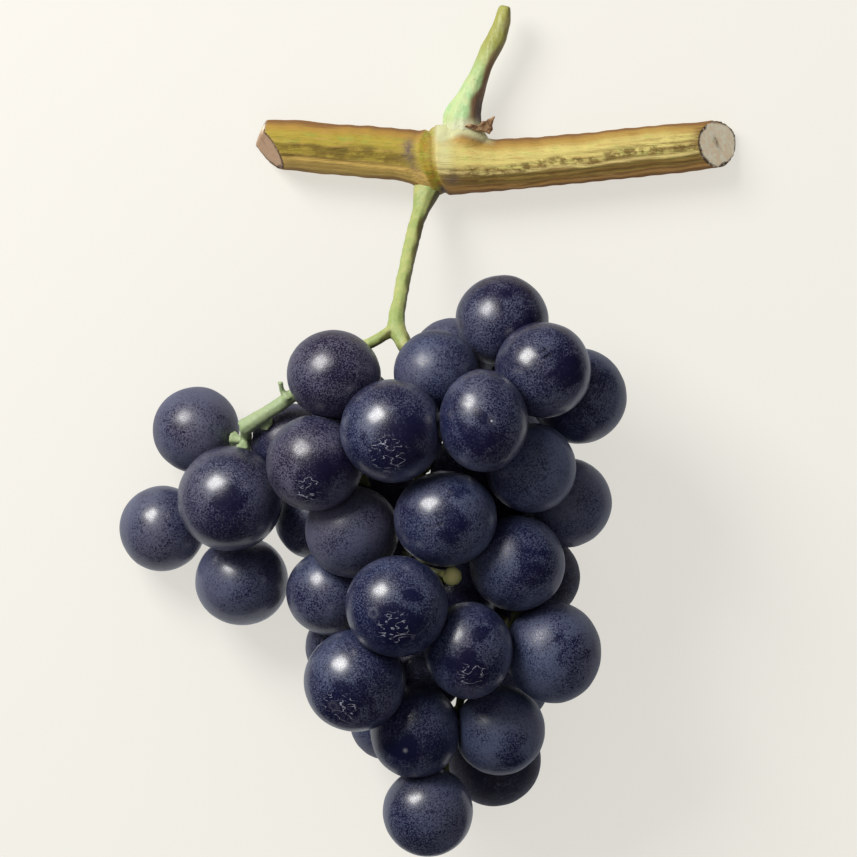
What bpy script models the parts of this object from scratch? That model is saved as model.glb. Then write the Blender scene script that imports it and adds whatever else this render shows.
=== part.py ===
"""A bunch of dark table grapes, lying on its back, with the piece of cane that it grew on.

Metres, +Z up. The bunch lies on the plane z = 0 with its fuller side up, the cane at +Y and
the tip of the bunch at -Y. The origin is below the middle of the whole bunch.
"""
import math
import random

import bmesh
import bpy
import numpy as np
from mathutils import Vector

MM = 0.001
COLLECTION = "bunch of grapes"

# Fit of the pieces
GAP = 0.3 * MM            # left between pieces that touch on the real bunch
STEM_END_DEPTH = 0.35 * MM    # how deep the flat at a berry's stem end is cut
SQUEEZE = 0.94            # centres may come this near, as a share of the radii's sum

# Berries
BERRY_SIDES = 12
BERRY_RINGS = 8
FACET_SWELL = 1.01        # a faceted ball this much wider looks as wide as the round one
SLIVER = 0.25 * MM        # points nearer than this are merged

# The berries of the upper side: x, y, height of the centre, radius, in millimetres
FRONT_BERRIES = [
    (14.8, 21.8, 31.0, 9.3),
    (22.9, 12.0, 43.0, 9.6),
    (30.2, 6.8, 27.0, 9.6),
    (4.8, 13.8, 20.0, 8.6),
    (1.6, 11.6, 39.8, 8.4),
    (11.0, 1.8, 52.0, 9.5),
    (-7.2, -0.2, 49.4, 10.3),
    (-18.8, 11.0, 39.5, 9.4),
    (-22.6, -6.6, 40.0, 9.7),
    (-27.4, -2.8, 17.2, 8.2),
    (-46.6, 0.0, 10.0, 8.7),
    (-39.6, -13.7, 23.5, 10.6),
    (-53.4, -19.8, 8.2, 8.6),
    (-37.4, -30.3, 11.0, 9.4),
    (-22.8, -17.8, 12.5, 8.1),
    (-15.2, -20.2, 31.5, 9.4),
    (3.6, -17.6, 44.0, 10.0),
    (20.6, -7.6, 39.5, 9.0),
    (27.8, -14.6, 25.5, 9.0),
    (17.8, -26.6, 36.5, 9.6),
    (22.0, -29.4, 20.0, 8.4),
    (25.0, -44.4, 32.0, 10.0),
    (-6.2, -35.2, 46.0, 10.2),
    (-19.8, -32.6, 22.0, 8.6),
    (8.2, -44.0, 39.5, 9.2),
    (-14.6, -50.0, 38.0, 10.2),
    (-16.6, -43.6, 11.0, 8.0),
    (-2.6, -60.2, 29.0, 9.3),
    (14.3, -60.1, 26.8, 9.1),
    (13.4, -66.2, 9.4, 9.4),
    (0.0, -76.4, 24.0, 9.0),
    (-8.2, -58.8, 11.0, 7.4),
    (6.4, -32.0, 20.0, 8.0),
    (-1.2, -48.6, 18.4, 8.4),
    (8.3, -8.5, 29.0, 8.0),
    (14.8, -16.6, 14.8, 8.0),
    (-10.2, -11.8, 17.8, 8.0),
    (15.6, -36.4, 8.2, 8.2),
    (16.2, -51.4, 8.0, 8.0),
]

# The berries behind and below them are placed by a rule
BACK_COUNT = 8            # at most
BACK_SEED = 11
BACK_RADIUS = (8.3 * MM, 9.4 * MM)
BACK_AREA = ((-33.0 * MM, 36.0 * MM), (-74.0 * MM, 26.0 * MM))
BACK_HIGHEST = 34.0 * MM
BACK_TRIES = 1500
BACK_RISE = 0.5 * MM
OUTLINE_STEPS = 20
FLOOR_FLAT = 0.4 * MM     # how deep a berry that lies on the surface is flattened

# Stem: x, y, height, radius, in millimetres
MAIN_STEM = [
    (0.0, 47.4, 7.2, 2.5), (-0.8, 45.6, 7.9, 1.95), (-2.2, 42.0, 10.2, 1.65), (-4.1, 34.0, 16.0, 1.5),
    (-5.7, 26.0, 21.8, 1.5), (-6.4, 21.0, 25.2, 1.9), (-4.6, 17.0, 27.2, 1.7), (-2.0, 11.0, 29.4, 1.6),
    (-1.8, 1.0, 30.6, 1.5), (-1.8, -9.0, 30.5, 1.4), (2.2, -17.6, 30.0, 1.4), (-1.4, -26.4, 30.4, 1.3),
    (-1.0, -34.0, 31.0, 1.2), (3.0, -42.0, 29.4, 1.1), (6.5, -50.0, 27.0, 1.0), (6.2, -56.0, 22.0, 0.9),
    (5.6, -61.0, 18.0, 0.85),
]
SIDE_STEMS = {
    "wing": [
        (-6.4, 20.6, 25.4, 1.4), (-9.0, 18.8, 26.6, 1.2), (-11.4, 17.5, 27.0, 1.2), (-17.6, 14.4, 26.6, 1.3),
        (-23.6, 9.6, 26.0, 1.4), (-27.8, 6.4, 25.6, 1.5), (-32.6, 3.2, 24.8, 1.5), (-37.0, 0.4, 22.6, 1.9),
    ],
    "wing_under": [
        (-36.6, 0.6, 22.8, 1.3), (-36.4, -3.5, 13.6, 1.1), (-37.5, -8.5, 8.4, 1.0), (-40.5, -13.5, 6.6, 0.9),
    ],
    "right_upper": [
        (-1.8, 9.4, 29.6, 1.2), (6.0, 6.0, 30.2, 1.1), (13.0, 5.5, 31.0, 1.0), (17.0, 8.0, 31.0, 0.9),
    ],
    "right_middle": [
        (-1.8, 1.4, 30.6, 1.2), (7.0, 1.5, 29.8, 1.1), (14.5, -0.5, 28.8, 1.0), (17.5, -6.5, 28.0, 0.9),
    ],
    "right_lower": [(2.6, -41.2, 29.6, 1.0), (9.0, -40.3, 28.2, 0.95), (14.8, -42.0, 27.0, 0.9)],
    "left_middle": [(-1.8, -7.0, 30.5, 1.2), (-8.0, -6.2, 30.0, 1.1), (-14.5, -5.0, 28.5, 1.0)],
    "left_lower": [(-1.2, -29.0, 30.6, 1.1), (-5.6, -33.4, 31.0, 1.0), (-11.2, -35.0, 29.0, 0.9)],
    "left_tip": [
        (-1.0, -35.5, 31.0, 1.0), (-7.0, -41.0, 30.5, 0.95), (-11.0, -47.0, 27.0, 0.9),
        (-12.0, -52.5, 25.0, 0.85),
    ],
}
BARE_STUBS = {
    "stub_long": [(-28.2, 6.2, 25.6, 0.8), (-29.3, 8.2, 26.8, 0.55), (-29.5, 9.6, 27.6, 0.6)],
    "stub_short": [(-28.4, 5.8, 26.0, 0.9), (-28.0, 6.9, 27.4, 0.8)],
    "bare_stalk": [
        (-1.2, -28.0, 30.6, 0.9), (2.6, -28.6, 33.2, 0.8), (4.2, -29.0, 35.2, 1.1), (4.8, -29.2, 36.4, 2.1),
        (4.95, -29.3, 37.0, 2.0),
    ],
}
STALK_RADIUS = 0.75 * MM
STALK_ROOT_RADIUS = 0.9 * MM
STALK_END_RADIUS = 1.7 * MM
STALK_END_LENGTH = 2.4 * MM
STALK_SIDES_RESOLUTION = 1
STEM_SIDES_RESOLUTION = 2
LEAF_STALK_SIDES_RESOLUTION = 4
ROOT_REACH = 16.0 * MM    # berries' stalks grow from the stems below this y
ROUTE_STRETCHES = 3       # of a berry's stalk, between its root and its swollen end
ROUTE_ROUNDS = 60
ROUTE_EASE = 0.2          # how far a bend of a stalk moves towards straight in each round
ROUTE_PUSH = 0.6          # how much of its overlap with a berry it makes good in each round
CUT_COST = 4.0            # a root's price for cutting through berries
BACKWARD_COST = 0.6       # a root's price for lying nearer the tip than its berry

# Cane: x, y, radius of its axis's stations, in millimetres; it lies level
CANE_HEIGHT = 5.9 * MM
CANE_STATIONS = [
    (-36.0, 57.9, 5.5), (-25.6, 57.4, 5.35), (-14.6, 56.1, 5.15), (-6.6, 55.4, 5.15), (-2.4, 54.8, 5.4),
    (0.6, 54.0, 6.1), (5.0, 53.4, 6.2), (9.6, 53.1, 5.8), (13.6, 53.1, 5.25), (23.4, 53.8, 5.0),
    (34.4, 55.0, 4.95), (46.4, 56.4, 5.05), (66.0, 58.8, 5.3),
]
CANE_SIDES_RESOLUTION = 8
CANE_LEFT_END = ((-33.4, 60.4), (-0.96, 0.27, 0.08))
CANE_LEFT_CUT = ((-31.4, 55.2), (-0.80, -0.52, 0.30))
CANE_RIGHT_CUT = ((58.2, 57.1), (0.79, 0.08, 0.61))
CUSHION = ((7.4, 57.1), 5.0)       # the swelling that carries the leaf stalk: place and radius
CUSHION_RIDGE = ((3.0, 58.4), 3.3)    # the ridge at its left
LEAF_STALK_FOOT = 61.4 * MM       # y of the flat where the leaf stalk stands on the cane
LEAF_STALK = [
    (7.2, 60.0, 5.9, 4.5), (7.0, 63.0, 6.0, 3.8), (8.2, 66.4, 6.1, 2.85), (9.7, 70.0, 6.2, 2.25),
    (11.0, 73.0, 6.4, 2.0), (12.5, 76.0, 6.5, 1.95), (13.9, 79.0, 6.6, 1.95), (14.9, 82.0, 6.8, 1.8),
    (15.3, 84.0, 6.9, 1.5), (15.5, 85.2, 7.0, 1.1),
]
BUD_SCALE = [(12.5, 59.3, 7.9, 1.2), (12.7, 60.9, 8.2, 1.0), (13.3, 62.7, 8.6, 0.3)]

GRAPE_SKIN = (0.020, 0.023, 0.050)
STEM_GREEN = (0.35, 0.40, 0.12)
CANE_BARK = (0.40, 0.34, 0.12)
STALK_GREEN = (0.38, 0.50, 0.28)
SCALE_BROWN = (0.16, 0.09, 0.05)


def clear_scene():
    """Removes whatever objects the scene holds."""
    for item in list(bpy.data.objects):
        bpy.data.objects.remove(item, do_unlink=True)


def material(name, colour, roughness):
    """Returns a Principled material of one colour."""
    made = bpy.data.materials.new(name)
    made.use_nodes = True
    shader = made.node_tree.nodes["Principled BSDF"]
    shader.inputs["Base Color"].default_value = (*colour, 1.0)
    shader.inputs["Roughness"].default_value = roughness
    shader.inputs["Metallic"].default_value = 0.0
    return made


def add_object(name, mesh, collection, skin):
    """Puts a mesh in the collection as a named object with its material."""
    made = bpy.data.objects.new(name, mesh)
    collection.objects.link(made)
    mesh.materials.clear()
    mesh.materials.append(skin)
    mesh.shade_smooth()
    mesh.set_sharp_from_angle(angle=math.radians(40))
    return made


def stations(rows):
    """Turns rows of x, y, height and radius in millimetres into points and radii in metres."""
    points = [Vector(row[:3]) * MM for row in rows]
    radii = [row[3] * MM for row in rows]
    return points, radii


def rounded(points, radii, steps):
    """Reads a smooth curve through the points, with steps stretches between each two of them."""
    last = len(points) - 1
    fine_points = []
    fine_radii = []
    for index in range(last):
        before = points[max(index - 1, 0)]
        start, end = points[index], points[index + 1]
        after = points[min(index + 2, last)]
        for step in range(steps):
            t = step / steps
            pull_start = (end - before) * 0.5
            pull_end = (after - start) * 0.5
            place = (
                start * (2 * t**3 - 3 * t**2 + 1) + pull_start * (t**3 - 2 * t**2 + t)
                + end * (3 * t**2 - 2 * t**3) + pull_end * (t**3 - t**2)
            )
            fine_points.append(place)
            fine_radii.append(radii[index] * (1 - t) + radii[index + 1] * t)
    return fine_points + [points[last]], fine_radii + [radii[last]]


def tube(name, points, radii, resolution):
    """Makes a closed tube along the points, as a mesh object outside any collection."""
    curve = bpy.data.curves.new(name, "CURVE")
    curve.dimensions = "3D"
    curve.bevel_depth = 1.0
    curve.bevel_resolution = resolution
    curve.use_fill_caps = True
    spline = curve.splines.new("POLY")
    spline.points.add(len(points) - 1)
    for slot, place, radius in zip(spline.points, points, radii):
        slot.co = (*place, 1.0)
        slot.radius = radius
    holder = bpy.data.objects.new(name + "_curve", curve)
    bpy.context.scene.collection.objects.link(holder)
    seen = holder.evaluated_get(bpy.context.evaluated_depsgraph_get())
    mesh = bpy.data.meshes.new_from_object(seen)
    weld(mesh)
    bpy.data.objects.remove(holder, do_unlink=True)
    bpy.data.curves.remove(curve)
    return bpy.data.objects.new(name, mesh)


def weld(mesh):
    """Joins the caps of a tube's mesh to its wall and turns all faces outward."""
    work = bmesh.new()
    work.from_mesh(mesh)
    bmesh.ops.remove_doubles(work, verts=work.verts, dist=0.02 * MM)
    bmesh.ops.recalc_face_normals(work, faces=work.faces)
    work.to_mesh(mesh)
    work.free()


def cut(mesh, place, outward):
    """Cuts a closed mesh flat: what lies beyond the plane goes and the hole is filled."""
    work = bmesh.new()
    work.from_mesh(mesh)
    everything = list(work.verts) + list(work.edges) + list(work.faces)
    result = bmesh.ops.bisect_plane(
        work, geom=everything, dist=0.001 * MM, plane_co=place, plane_no=outward, clear_outer=True
    )
    rim = [item for item in result["geom_cut"] if isinstance(item, bmesh.types.BMEdge)]
    if rim:
        bmesh.ops.holes_fill(work, edges=rim)
        bmesh.ops.triangulate(work, faces=[face for face in work.faces if len(face.verts) > 4])
    bmesh.ops.recalc_face_normals(work, faces=work.faces)
    work.to_mesh(mesh)
    work.free()


def join_all(name, first, others):
    """Unites loose mesh objects into one solid mesh and removes them."""
    pieces = bpy.data.collections.new(name + " pieces")
    bpy.context.scene.collection.children.link(pieces)
    bpy.context.scene.collection.objects.link(first)
    for item in others:
        pieces.objects.link(item)
        item.hide_render = True
        item.display_type = "WIRE"
    union = first.modifiers.new("union", "BOOLEAN")
    union.operation = "UNION"
    union.solver = "MANIFOLD"
    union.operand_type = "COLLECTION"
    union.collection = pieces
    seen = first.evaluated_get(bpy.context.evaluated_depsgraph_get())
    mesh = bpy.data.meshes.new_from_object(seen)
    for item in [first] + list(others):
        bpy.data.objects.remove(item, do_unlink=True)
    bpy.data.collections.remove(pieces)
    mesh.name = name
    return mesh


def nearest_on_segment(place, start, end):
    """Returns the point of a straight stretch that lies nearest to a place."""
    along = end - start
    share = (place - start).dot(along) / max(along.length_squared, 1e-12)
    return start + along * min(max(share, 0.0), 1.0)


def stem_clearance(centre, segments):
    """Returns how far a centre is from the nearest stem's surface."""
    gaps = []
    for start, end, radius in segments:
        gaps.append((nearest_on_segment(centre, start, end) - centre).length - radius)
    return min(gaps)


def is_hidden(centre, radius, berries):
    """Says whether berries that lie higher cover the whole outline of one, seen from above."""
    for step in range(OUTLINE_STEPS):
        turn = 2 * math.pi * step / OUTLINE_STEPS
        x = centre.x + radius * math.cos(turn)
        y = centre.y + radius * math.sin(turn)
        covers = (
            other.z > centre.z + MM and math.hypot(x - other.x, y - other.y) < size - GAP
            for other, size in berries
        )
        if not any(covers):
            return False
    return True


def lowest_place(x, y, radius, berries, segments):
    """Finds the lowest free place for a berry over a point of the surface, or None."""
    near = []
    for other, size in berries:
        reach = SQUEEZE * (radius + size)
        if math.hypot(x - other.x, y - other.y) < reach:
            near.append((other, reach))
    height = radius - FLOOR_FLAT
    while height < BACK_HIGHEST:
        centre = Vector((x, y, height))
        if all((centre - other).length >= reach for other, reach in near):
            if stem_clearance(centre, segments) > radius + GAP:
                return centre
        height += BACK_RISE
    return None


def back_berries(front, segments):
    """Fills the space behind and below the upper berries, the lowest free place first."""
    draw = random.Random(BACK_SEED)
    berries = list(front)
    for _ in range(BACK_COUNT):
        best = None
        for _ in range(BACK_TRIES):
            x = draw.uniform(*BACK_AREA[0])
            y = draw.uniform(*BACK_AREA[1])
            radius = draw.uniform(*BACK_RADIUS)
            centre = lowest_place(x, y, radius, berries, segments)
            if centre is None or (best and centre.z > best[0].z - 0.1 * MM):
                continue
            if is_hidden(centre, radius, berries):
                best = (centre, radius)
        if best is None:
            break
        berries.append(best)
    return berries


def pushed_route(root, index, berries):
    """Leads a stalk from its root on the stem to berry number index, bent clear of the others."""
    centre, size = berries[index]
    toward = (root - centre).normalized()
    mouth = centre + toward * (size + STALK_END_LENGTH)
    route = [root.lerp(mouth, step / ROUTE_STRETCHES) for step in range(ROUTE_STRETCHES + 1)]
    for _ in range(ROUTE_ROUNDS):
        for step in range(1, ROUTE_STRETCHES):
            middle = (route[step - 1] + route[step + 1]) * 0.5
            route[step] = route[step].lerp(middle, ROUTE_EASE)
        for step in range(1, ROUTE_STRETCHES + 1):
            for number, (other, width) in enumerate(berries):
                away = route[step] - other
                need = width + STALK_RADIUS + GAP
                if number != index and away.length < need:
                    route[step] = route[step] + away.normalized() * (need - away.length) * ROUTE_PUSH
        back = (route[-1].lerp(route[-2], 0.5) - centre).normalized()
        route[-1] = centre + back * (size + STALK_END_LENGTH)
    toward = (route[-1] - centre).normalized()
    return route, toward


def root_cost(root, centre, size, spheres, index):
    """Rates a root for a stalk: its length, what it would cut through, and growing backward."""
    away = np.array(root - centre)
    length = float(np.linalg.norm(away))
    if length < size + STALK_END_LENGTH:
        return 1.0 + (size + STALK_END_LENGTH - length)
    mouth = np.array(centre) + away / length * size
    shares = np.linspace(0.0, 1.0, 12)[:, None]
    line = np.array(root) * (1 - shares) + mouth * shares
    gaps = np.linalg.norm(line[:, None, :] - spheres[None, :, :3], axis=2) - spheres[None, :, 3]
    gaps[:, index] = 1.0
    depth = np.clip(STALK_RADIUS - gaps, 0.0, None).sum()
    return (length - size) + CUT_COST * float(depth) + BACKWARD_COST * max(0.0, centre.y - root.y)


def stalk_routes(berries, roots):
    """Gives every berry its stalk: a list of points with radii, and the direction it arrives from."""
    spheres = np.array([(*centre, size) for centre, size in berries])
    routes = []
    for index, (centre, size) in enumerate(berries):
        root = min(roots, key=lambda spot: root_cost(spot, centre, size, spheres, index))
        route, toward = pushed_route(root, index, berries)
        flat = size - STEM_END_DEPTH + GAP
        points = route + [
            centre + toward * (flat + 1.1 * MM),
            centre + toward * (flat + 0.45 * MM),
            centre + toward * flat,
        ]
        radii = [STALK_ROOT_RADIUS] + [STALK_RADIUS] * ROUTE_STRETCHES
        radii += [STALK_END_RADIUS * 0.72, STALK_END_RADIUS, STALK_END_RADIUS]
        routes.append((points, radii, toward))
    return routes


def segments_of(points, radii):
    """Lists the straight stretches of a stem as start, end and greater radius."""
    pairs = zip(points, points[1:], radii, radii[1:])
    return [(start, end, max(one, two)) for start, end, one, two in pairs]


def berry_planes(index, berries, routes, fixed_segments):
    """Lists the planes that flatten a berry: its neighbours, the surface, the stems, its stalk."""
    centre, size = berries[index]
    width = size * FACET_SWELL
    planes = [(Vector((centre.x, centre.y, 0.0)), Vector((0.0, 0.0, -1.0)))]
    for number, (other, other_size) in enumerate(berries):
        apart = other - centre
        other_width = other_size * FACET_SWELL
        if number != index and apart.length < width + other_width + GAP:
            share = (apart.length**2 + width**2 - other_width**2) / (2 * apart.length)
            toward = apart.normalized()
            planes.append((centre + toward * (share - GAP / 2), toward))
    toward = routes[index][2]
    planes.append((centre + toward * (size - STEM_END_DEPTH), toward))
    passing = list(fixed_segments)
    for number, (points, radii, _) in enumerate(routes):
        stretch = segments_of(points, radii)
        passing += stretch[:-3] if number == index else stretch
    for start, end, radius in passing:
        near = nearest_on_segment(centre, start, end)
        away = near - centre
        if away.length < width + radius + GAP:
            toward = away.normalized()
            planes.append((near - toward * (radius + GAP), toward))
    return planes


def berry_mesh(name, centre, size, toward, planes):
    """Makes a faceted berry with its pole at the stalk, flattened by the planes."""
    work = bmesh.new()
    bmesh.ops.create_uvsphere(
        work, u_segments=BERRY_SIDES, v_segments=BERRY_RINGS, radius=size * FACET_SWELL
    )
    turn = Vector((0.0, 0.0, 1.0)).rotation_difference(toward).to_matrix()
    bmesh.ops.rotate(work, cent=(0.0, 0.0, 0.0), matrix=turn, verts=work.verts)
    bmesh.ops.translate(work, vec=centre, verts=work.verts)
    for place, outward in planes:
        everything = list(work.verts) + list(work.edges) + list(work.faces)
        result = bmesh.ops.bisect_plane(
            work, geom=everything, dist=0.001 * MM, plane_co=place, plane_no=outward, clear_outer=True
        )
        rim = [item for item in result["geom_cut"] if isinstance(item, bmesh.types.BMEdge)]
        if rim:
            bmesh.ops.holes_fill(work, edges=rim)
    bmesh.ops.remove_doubles(work, verts=work.verts, dist=SLIVER)
    corners = [vertex.co.copy() for vertex in work.verts]
    work.free()
    return hull_mesh(name, corners)


def hull_mesh(name, corners):
    """Wraps points in their convex hull."""
    work = bmesh.new()
    for corner in corners:
        work.verts.new(corner)
    hull = bmesh.ops.convex_hull(work, input=work.verts, use_existing_faces=False)
    left_out = set(hull["geom_interior"] + hull["geom_unused"])
    inner = [vertex for vertex in work.verts if vertex in left_out]
    bmesh.ops.delete(work, geom=inner, context="VERTS")
    bmesh.ops.recalc_face_normals(work, faces=work.faces)
    mesh = bpy.data.meshes.new(name)
    work.to_mesh(mesh)
    work.free()
    return mesh


def fixed_stems():
    """Reads the main stem, side stems and stubs as smooth lists of points and radii."""
    made = {"main": rounded(*stations(MAIN_STEM), 2)}
    for name, rows in SIDE_STEMS.items():
        made[name] = rounded(*stations(rows), 2)
    for name, rows in BARE_STUBS.items():
        made[name] = stations(rows)
    return made


def stalk_roots(stems):
    """Lists the places on the stems that a berry's stalk may grow from."""
    roots = []
    for name, (points, _) in stems.items():
        if name not in BARE_STUBS:
            inside = [place for place in points if place.y < ROOT_REACH]
            roots += [one.lerp(two, 0.5) for one, two in zip(inside, inside[1:])] + inside
    return roots


def bunch_stem(stems, routes):
    """Unites the main stem, its branches and every berry's stalk into one solid."""
    pieces = []
    for name, (points, radii) in stems.items():
        pieces.append(tube(name, points, radii, STEM_SIDES_RESOLUTION))
    for number, (points, radii, _) in enumerate(routes):
        pieces.append(tube(f"stalk_{number}", points, radii, STALK_SIDES_RESOLUTION))
    return join_all("bunch_stem", pieces[0], pieces[1:])


def swelling(x, y, radius):
    """Makes a ball at the cane's height, from millimetres, as a mesh object outside any collection."""
    mesh = bpy.data.meshes.new("swelling")
    work = bmesh.new()
    bmesh.ops.create_uvsphere(work, u_segments=16, v_segments=10, radius=radius * MM)
    bmesh.ops.translate(work, vec=(x * MM, y * MM, CANE_HEIGHT), verts=work.verts)
    work.to_mesh(mesh)
    work.free()
    return bpy.data.objects.new("swelling", mesh)


def cane():
    """Makes the cane: a level tube with a swollen node, a cushion for the leaf, and slanted cuts."""
    points = [Vector((x * MM, y * MM, CANE_HEIGHT)) for x, y, _ in CANE_STATIONS]
    radii = [radius * MM for _, _, radius in CANE_STATIONS]
    body = tube("cane_body", *rounded(points, radii, 2), CANE_SIDES_RESOLUTION)
    for (x, y), outward in (CANE_LEFT_END, CANE_LEFT_CUT, CANE_RIGHT_CUT):
        cut(body.data, Vector((x * MM, y * MM, CANE_HEIGHT)), Vector(outward))
    swellings = [swelling(x, y, radius) for (x, y), radius in (CUSHION, CUSHION_RIDGE)]
    for item in swellings:
        cut(item.data, Vector((0.0, LEAF_STALK_FOOT - GAP, 0.0)), Vector((0.0, 1.0, 0.0)))
    mesh = join_all("cane", body, swellings)
    cut(mesh, Vector((0.0, 0.0, 0.0)), Vector((0.0, 0.0, -1.0)))
    return mesh


def leaf_stalk():
    """Makes the stump of the leaf stalk, standing on the cane's cushion."""
    points, radii = rounded(*stations(LEAF_STALK), 2)
    stump = tube("leaf_stalk_tube", points, radii, LEAF_STALK_SIDES_RESOLUTION)
    cut(stump.data, Vector((0.0, LEAF_STALK_FOOT, 0.0)), Vector((0.0, -1.0, 0.0)))
    cut(stump.data, Vector((0.0, 0.0, MM)), Vector((0.0, 0.0, -1.0)))
    mesh = stump.data
    bpy.data.objects.remove(stump, do_unlink=True)
    return mesh


def bud_scale():
    """Makes the small pointed scale beside the leaf stalk's foot."""
    scale = tube("bud_scale_tube", *stations(BUD_SCALE), STEM_SIDES_RESOLUTION)
    mesh = scale.data
    bpy.data.objects.remove(scale, do_unlink=True)
    return mesh


def main():
    """Builds the whole bunch."""
    clear_scene()
    home = bpy.data.collections.new(COLLECTION)
    bpy.context.scene.collection.children.link(home)

    stems = fixed_stems()
    fixed_segments = []
    for points, radii in stems.values():
        fixed_segments += segments_of(points, radii)
    front = [(Vector(row[:3]) * MM, row[3] * MM) for row in FRONT_BERRIES]
    berries = back_berries(front, fixed_segments)
    routes = stalk_routes(berries, stalk_roots(stems))

    skin = material("berry_skin", GRAPE_SKIN, 0.45)
    for index, (centre, size) in enumerate(berries):
        name = f"berry_{index + 1:02d}"
        planes = berry_planes(index, berries, routes, fixed_segments)
        add_object(name, berry_mesh(name, centre, size, routes[index][2], planes), home, skin)
    add_object("bunch_stem", bunch_stem(stems, routes), home, material("stem_green", STEM_GREEN, 0.6))
    add_object("cane", cane(), home, material("cane_bark", CANE_BARK, 0.7))
    add_object("leaf_stalk", leaf_stalk(), home, material("leaf_stalk", STALK_GREEN, 0.6))
    add_object("bud_scale", bud_scale(), home, material("bud_scale", SCALE_BROWN, 0.8))


main()
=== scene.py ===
"""The looks of a bunch of dark grapes on its piece of cane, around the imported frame.

Metres, +Z up. The camera looks straight down on the bunch, which lies on a pale floor.
"""
import math
import random

import bmesh
import bpy
import numpy as np
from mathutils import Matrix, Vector
from mathutils.bvhtree import BVHTree


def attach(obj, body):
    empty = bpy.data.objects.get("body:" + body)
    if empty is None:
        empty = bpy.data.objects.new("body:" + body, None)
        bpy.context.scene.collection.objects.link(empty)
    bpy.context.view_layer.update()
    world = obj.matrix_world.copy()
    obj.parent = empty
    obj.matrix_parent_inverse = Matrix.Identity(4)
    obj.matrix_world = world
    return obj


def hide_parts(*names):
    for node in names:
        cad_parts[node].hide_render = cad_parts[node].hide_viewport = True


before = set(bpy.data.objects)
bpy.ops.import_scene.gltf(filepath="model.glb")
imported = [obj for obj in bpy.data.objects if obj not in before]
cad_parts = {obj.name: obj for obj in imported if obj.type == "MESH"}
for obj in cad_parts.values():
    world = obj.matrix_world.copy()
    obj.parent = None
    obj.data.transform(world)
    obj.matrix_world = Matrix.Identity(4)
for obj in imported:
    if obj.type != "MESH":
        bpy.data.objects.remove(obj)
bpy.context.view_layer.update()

MM = 0.001
BODY = "root"
MIX_FIRST, MIX_SECOND, MIX_RESULT = 6, 7, 2     # a Mix node's colour sockets
EVEN = (1.0, 1.0, 1.0)                          # no stretch along any axis

# View: the photograph is 857 pixels wide, and one pixel is this long on the bunch
PHOTO_PIXELS = 857
PIXEL = 0.2 * MM
PHOTO_CENTRE = (428.5, 428.5)     # the photograph's middle, in its pixels
ORIGIN_PIXEL = (428.0, 430.0)     # where the frame's origin lies in the photograph
FOCUS_HEIGHT = 30 * MM            # height at which the scale holds
SENSOR = 36.0
LENS = 1000.0
CLIP_END = 50.0

# Light: the key stands where the berries' highlights ask for it
KEY_DIRECTION = (-0.545, 0.540, 0.640)
KEY_AIM = (0.0, 0.0, 0.02)
KEY_DISTANCE = 0.75
KEY_SIZE = 0.34
KEY_POWER = 5.8
KEY_COLOUR = (1.0, 0.985, 0.95)
WORLD_COLOUR = (1.0, 0.985, 0.955, 1.0)
WORLD_STRENGTH = 0.38

# Floor, which glows a little so that it stays pale where the bunch shades it
FLOOR_COLOUR = (0.29, 0.282, 0.265)
FLOOR_GRAIN = 0.992               # its darkest grain, as a part of its colour
FLOOR_GLOW_COLOUR = (1.0, 0.975, 0.905)
FLOOR_GLOW = 0.62
FLOOR_RADIUS = 4.0
DISC_SEGMENTS = 64

# Disc under the bunch that shows in gloss alone and gives the berries their pale rims
DISC_RADIUS = 0.10
DISC_GLOW_COLOUR = (0.95, 0.97, 1.0)
DISC_GLOW = 0.52

# Colours of the berries. Every colour here is red, green and blue in linear light
SKIN_BLUE = (0.0045, 0.0062, 0.0420)
SKIN_PURPLE = (0.0090, 0.0052, 0.0290)
DUST_BLUE = (0.0680, 0.0860, 0.1680)
DUST_PURPLE = (0.0940, 0.0880, 0.1420)
# painted highlight: the pale shine drawn on the wrinkle lines
WRINKLE_PAINTED_SHINE = (0.380, 0.400, 0.500)
# painted shade: the dark drawn along the creases
CREASE_PAINTED_SHADE = (0.004, 0.004, 0.010)
SCAR_PALE = (0.160, 0.165, 0.210)
# painted glint: a tiny white speck of highlight
GLINT_PAINTED_WHITE = (0.900, 0.900, 0.920)

# Colours of the bunch stem
STEM_YELLOW = (0.470, 0.490, 0.180)
STEM_GREEN = (0.330, 0.420, 0.130)
STEM_FLECK = (0.160, 0.120, 0.040)
# painted shade: brown on the stem's side away from the key and under the wing
STEM_SHADE_BROWN = (0.100, 0.075, 0.022)
STEM_MINT = (0.330, 0.430, 0.250)
# painted shade: dark where the stem runs deep between the berries
STEM_DEEP_SHADE = (0.060, 0.060, 0.020)
# the bare end's pale colour, brightened as painted light against the berries' shade
STEM_BROKEN_LIT = (1.0, 0.920, 0.380)
STEM_SCATTER = (0.0012, 0.0014, 0.0005)

# Colours of the bark, left and right of the node
BARK_LEFT = (0.430, 0.330, 0.050)
BARK_RIGHT = (0.680, 0.570, 0.190)
GREEN_LEFT = (0.300, 0.360, 0.065)
GREEN_RIGHT = (0.560, 0.600, 0.170)
LOW_LEFT = (0.660, 0.440, 0.130)
LOW_RIGHT = (0.240, 0.140, 0.030)
BARK_STREAK = (0.560, 0.340, 0.120)
BARK_UPPER = (0.420, 0.235, 0.050)
BARK_LINE = (0.700, 0.560, 0.230)
BARK_UNDER = (0.700, 0.380, 0.110)
BARK_DIRT = (0.150, 0.090, 0.020)
BARK_GROOVE = (0.180, 0.090, 0.025)
BARK_CREST = (0.240, 0.110, 0.035)
BARK_EDGE = (0.250, 0.110, 0.030)
BARK_FINE = (0.200, 0.110, 0.030)

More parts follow.
